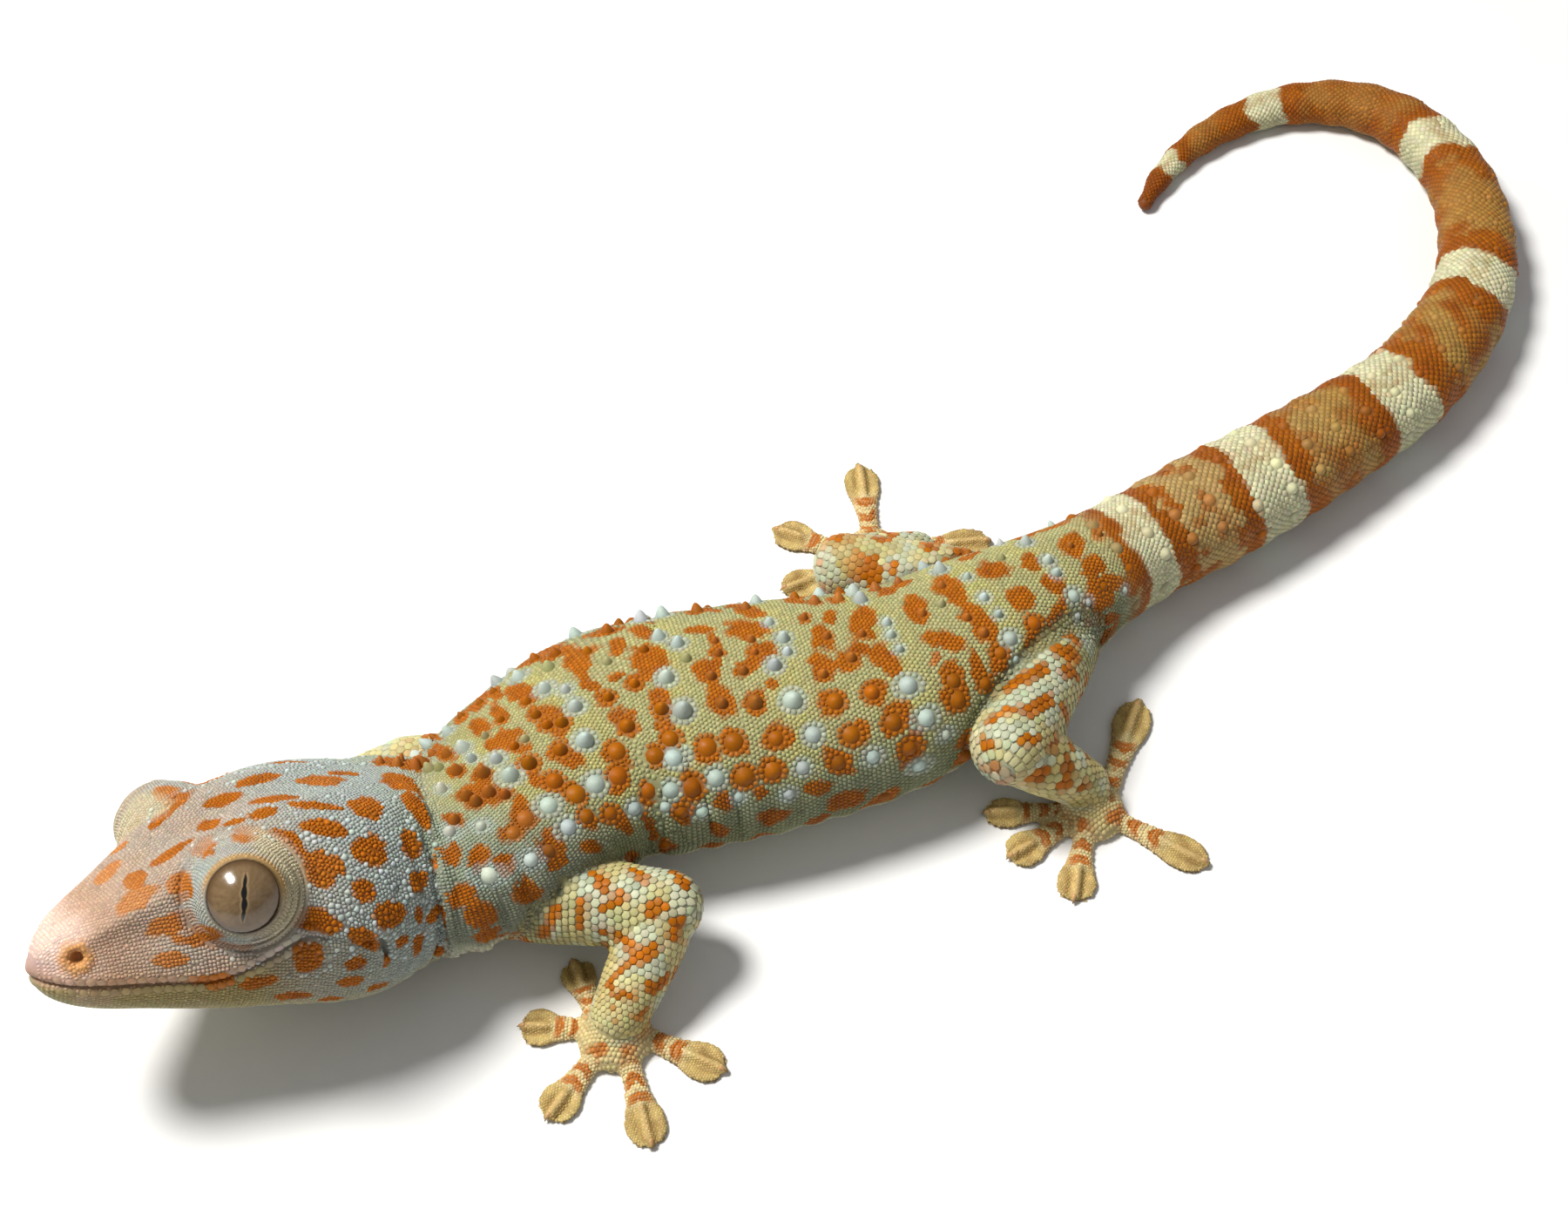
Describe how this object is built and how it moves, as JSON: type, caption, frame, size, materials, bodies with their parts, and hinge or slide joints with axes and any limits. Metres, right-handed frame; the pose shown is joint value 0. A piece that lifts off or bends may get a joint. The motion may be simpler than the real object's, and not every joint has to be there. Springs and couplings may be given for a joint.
{
  "type": "tokay gecko",
  "caption": "Still, life-size tokay gecko lying on its belly, head turned and lifted, padded toes spread, tail swept round in a hook.",
  "frame": {"origin": "on the floor, under the middle of the bounding box", "axes": "head towards -X, tail towards +X, the animal's left towards -Y, up +Z"},
  "size_m": [0.2232, 0.1405, 0.0345],
  "materials": {
    "skin": "dry granular scales, sage green to blue-grey with orange spots and pale tubercles",
    "toe_skin": "smooth ochre toe pads with orange and pale cross folds",
    "eye": "wet, tan-brown iris with an upright black slit"
  },
  "bodies": {
    "root": {"head": "skin", "lower_jaw": "skin", "eye_left": "eye", "eye_right": "eye", "neck": "skin", "chest": "skin", "belly": "skin", "pelvis": "skin", "tail_1": "skin", "tail_2": "skin", "tail_3": "skin", "tail_4": "skin", "tail_5": "skin", "tail_6": "skin", "arm_left_upper": "skin", "arm_left_lower": "skin", "hand_left": "skin", "hand_left_toe_1": "toe_skin", "hand_left_toe_2": "toe_skin", "hand_left_toe_3": "toe_skin", "hand_left_toe_4": "toe_skin", "hand_left_toe_5": "toe_skin", "arm_right_upper": "skin", "arm_right_lower": "skin", "hand_right": "skin", "hand_right_toe_1": "toe_skin", "hand_right_toe_2": "toe_skin", "hand_right_toe_3": "toe_skin", "hand_right_toe_4": "toe_skin", "hand_right_toe_5": "toe_skin", "leg_left_upper": "skin", "leg_left_lower": "skin", "foot_left": "skin", "foot_left_toe_1": "toe_skin", "foot_left_toe_2": "toe_skin", "foot_left_toe_3": "toe_skin", "foot_left_toe_4": "toe_skin", "foot_left_toe_5": "toe_skin", "leg_right_upper": "skin", "leg_right_lower": "skin", "foot_right": "skin", "foot_right_toe_1": "toe_skin", "foot_right_toe_2": "toe_skin", "foot_right_toe_3": "toe_skin", "foot_right_toe_4": "toe_skin", "foot_right_toe_5": "toe_skin"}
  },
  "joints": []
}
